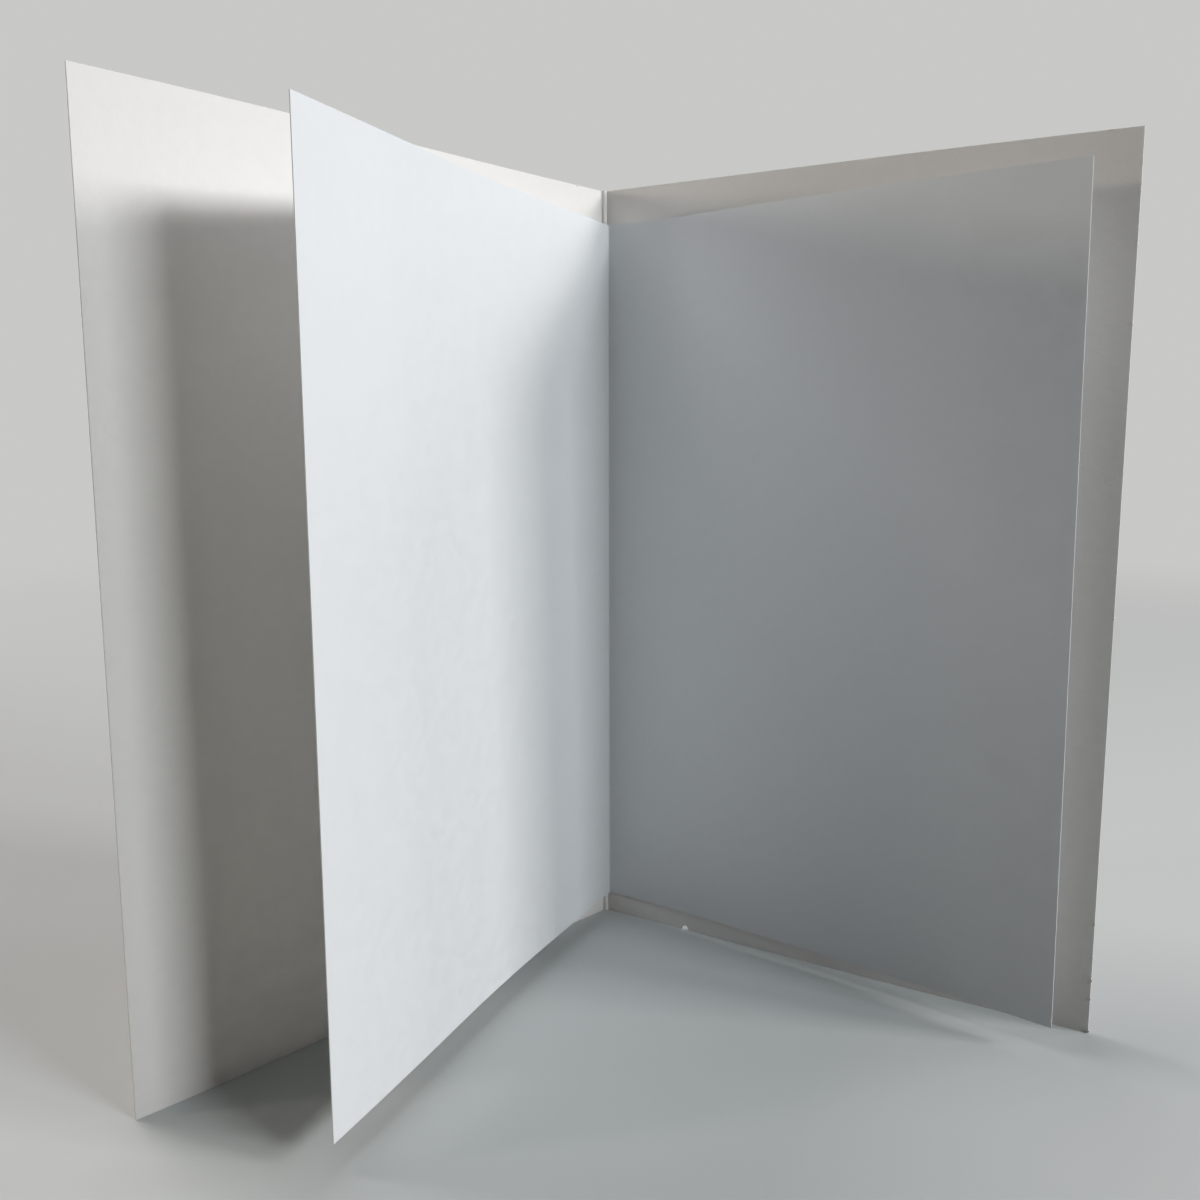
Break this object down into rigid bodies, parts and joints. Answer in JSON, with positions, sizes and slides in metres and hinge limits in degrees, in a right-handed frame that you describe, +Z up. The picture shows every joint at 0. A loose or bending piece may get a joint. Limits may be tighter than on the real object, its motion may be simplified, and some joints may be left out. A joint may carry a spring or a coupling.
{
  "type": "greeting card",
  "caption": "Blank folded greeting card standing open like a book, with a scored fold and a folded paper insert stuck along one panel, to hold a written message.",
  "frame": {"origin": "foot of the fold, at the middle of the card's thickness, on the surface that the card stands on", "axes": "+Z up along the fold, +X to the right across the open card, -Y towards the free edges and the reader, so that the fold is at the back"},
  "size_m": [0.1573, 0.082, 0.1524],
  "materials": {
    "card_stock": "matt uncoated white card, finely textured",
    "insert_paper": "matt uncoated white writing paper, faintly see-through at its edges",
    "adhesive": "translucent double-sided adhesive film"
  },
  "bodies": {
    "root": {"card_cover": "card_stock", "paper_insert": "insert_paper", "adhesive_strip": "adhesive"}
  },
  "joints": []
}
